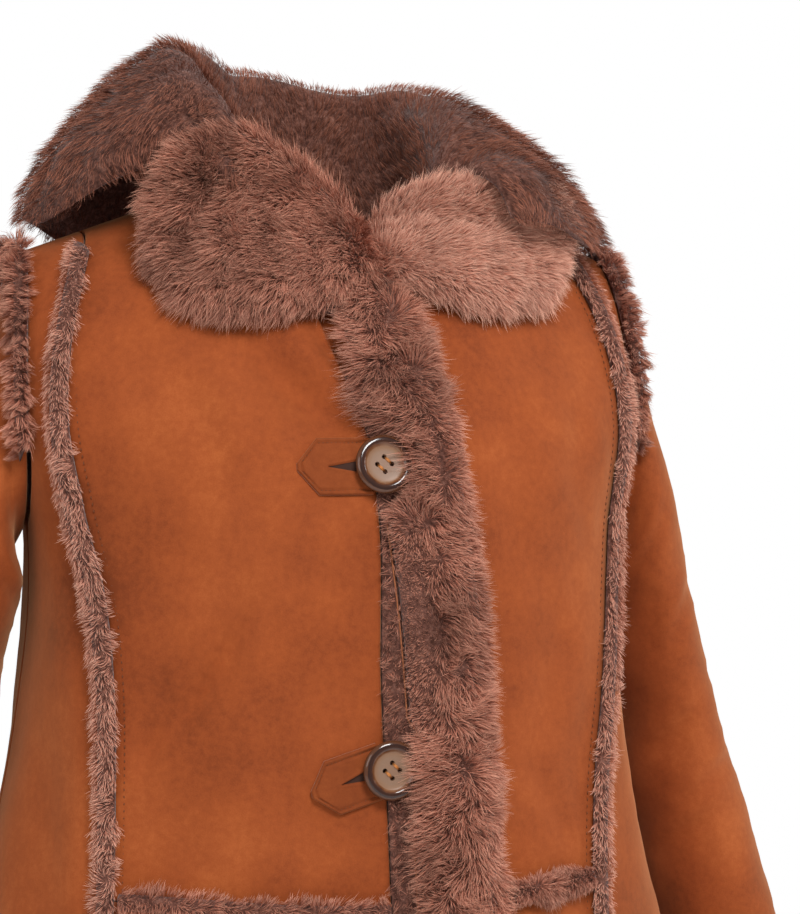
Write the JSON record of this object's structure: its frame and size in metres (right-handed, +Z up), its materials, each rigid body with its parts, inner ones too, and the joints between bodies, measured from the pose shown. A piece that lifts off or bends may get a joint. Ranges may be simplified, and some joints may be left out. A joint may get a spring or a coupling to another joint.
{
  "type": "shearling coat worn on a figure",
  "caption": "Knee-length shearling coat: suede outside, wool trim on its edges and seams, wide wool collar and lapels, buttoned front, hollow as worn.",
  "frame": {"origin": "middle of the neck opening, level with the points where the shoulder seams meet the neckline", "axes": "+Z up, the coat's front towards -Y, the wearer's left towards +X"},
  "size_m": [0.7006, 0.4204, 1.0543],
  "materials": {
    "suede": "rust-brown suede with a short, mottled nap",
    "wool": "mauve-brown lamb's wool with paler tips",
    "horn": "polished, dark rim round a milky centre"
  },
  "bodies": {
    "root": {"front_right": "suede", "front_left": "suede", "skirt_front_right": "suede", "skirt_front_left": "suede", "side_right": "suede", "side_left": "suede", "back": "suede", "sleeve_right": "suede", "sleeve_left": "suede", "collar": "wool", "lapel_right": "wool", "lapel_left": "wool", "front_band": "wool", "front_edge": "wool", "princess_band_right": "wool", "princess_band_left": "wool", "waist_band_right": "wool", "waist_band_left": "wool", "armhole_band_right": "wool", "armhole_band_left": "wool", "buttonhole_tab_1": "suede", "buttonhole_tab_2": "suede", "buttonhole_tab_3": "suede", "buttonhole_tab_4": "suede", "button_1": "horn", "button_2": "horn", "button_3": "horn", "button_4": "horn"}
  },
  "joints": []
}
